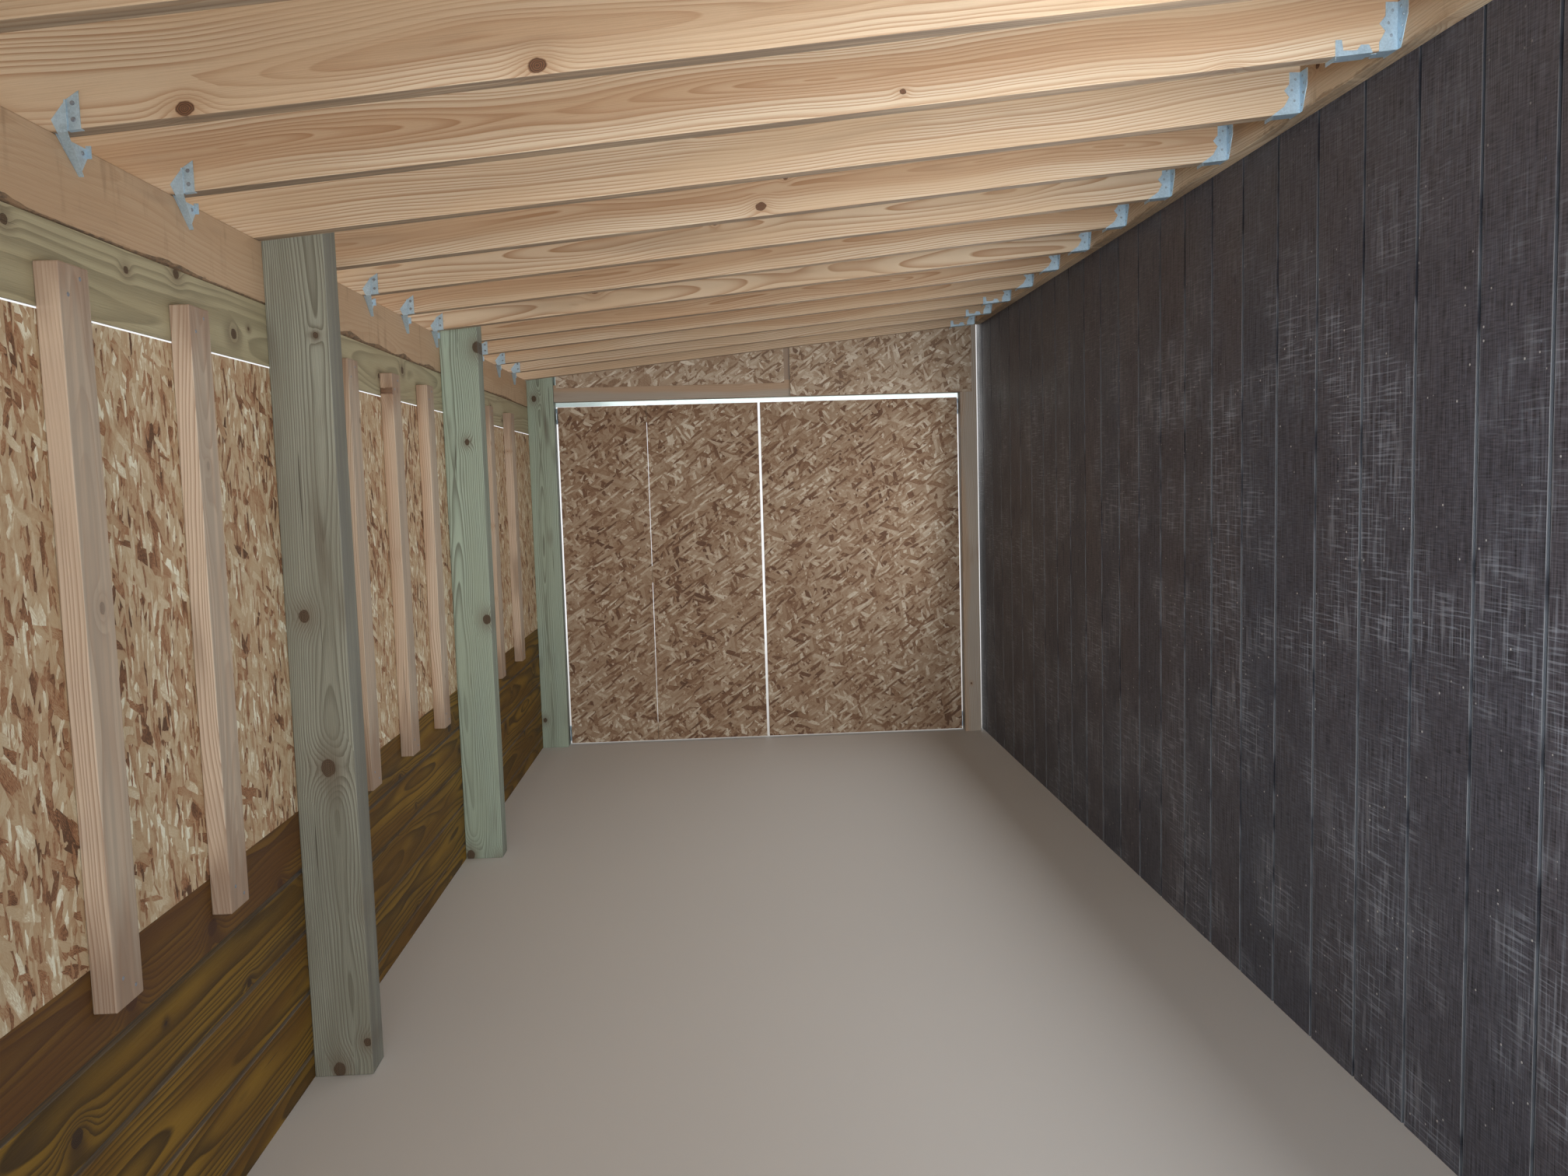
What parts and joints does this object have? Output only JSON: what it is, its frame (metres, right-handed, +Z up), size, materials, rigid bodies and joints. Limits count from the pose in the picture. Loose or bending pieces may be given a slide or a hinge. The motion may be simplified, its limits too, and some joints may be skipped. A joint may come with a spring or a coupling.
{
  "type": "lean-to log store",
  "caption": "Lean-to timber log store: a post-and-board wall, sloping rafters hung from a grooved party wall, strand-board doors at one end, the other end open.",
  "frame": {"origin": "on the ground, under the middle of the whole building's bounding box", "axes": "+Z up, +Y along the store from the open end to the doors, +X across it from the post-and-board wall to the party wall"},
  "size_m": [2.913, 6.434, 2.5488],
  "materials": {
    "treated_timber": "greenish pressure-treated pine, rough planed",
    "stained_timber": "brown stained and damp-darkened treated boards",
    "pine": "planed untreated pine with knots",
    "strand_board": "bare oriented strand board",
    "brown_siding": "rough-sawn grooved siding in dark brown stain, scuffed",
    "galvanised_steel": "galvanised sheet steel",
    "roofing_felt": "mineral-surfaced roofing felt",
    "house_wrap": "pale woven building wrap"
  },
  "bodies": {
    "building": {"beam_1": "pine", "beam_2": "pine", "beam_3": "pine", "cripple_stud": "pine", "door_header": "pine", "gable_sheet_left": "strand_board", "gable_sheet_right": "strand_board", "gable_wrap": "house_wrap", "girt_1": "treated_timber", "girt_2": "treated_timber", "girt_3": "treated_timber", "joist_hangers": "galvanised_steel", "ledger": "pine", "left_hinge_plates": "galvanised_steel", "party_wall_lining": "strand_board", "party_wall_plates": "pine", "party_wall_studs": "pine", "post_1": "treated_timber", "post_2": "treated_timber", "post_3": "treated_timber", "post_4": "treated_timber", "rafter_ties": "galvanised_steel", "rafters_1": "pine", "rafters_2": "pine", "rafters_3": "pine", "right_hinge_plates": "galvanised_steel", "right_jamb": "pine", "roof_covering": "roofing_felt", "roof_deck": "strand_board", "siding": "brown_siding", "skirt_boards_1": "stained_timber", "skirt_boards_2": "stained_timber", "skirt_boards_3": "stained_timber", "wall_sheet_1": "strand_board", "wall_sheet_2": "strand_board", "wall_sheet_3": "strand_board", "wall_studs_1": "pine", "wall_studs_2": "pine", "wall_studs_3": "pine"},
    "left_door": {"left_door_rails": "pine", "left_door_sheet": "strand_board", "left_door_stiles": "pine", "left_door_straps": "galvanised_steel"},
    "right_door": {"right_door_rails": "pine", "right_door_sheet": "strand_board", "right_door_stiles": "pine", "right_door_straps": "galvanised_steel"}
  },
  "joints": [
    {"name": "left_door_hinge", "type": "hinge", "parent": "building", "child": "left_door", "pos_m": [-0.9515, 3.163, 1], "axis": [0, 0, 1], "range_deg": [0, 110]},
    {"name": "right_door_hinge", "type": "hinge", "parent": "building", "child": "right_door", "pos_m": [1.2235, 3.163, 1], "axis": [0, 0, -1], "range_deg": [0, 110]}
  ]
}
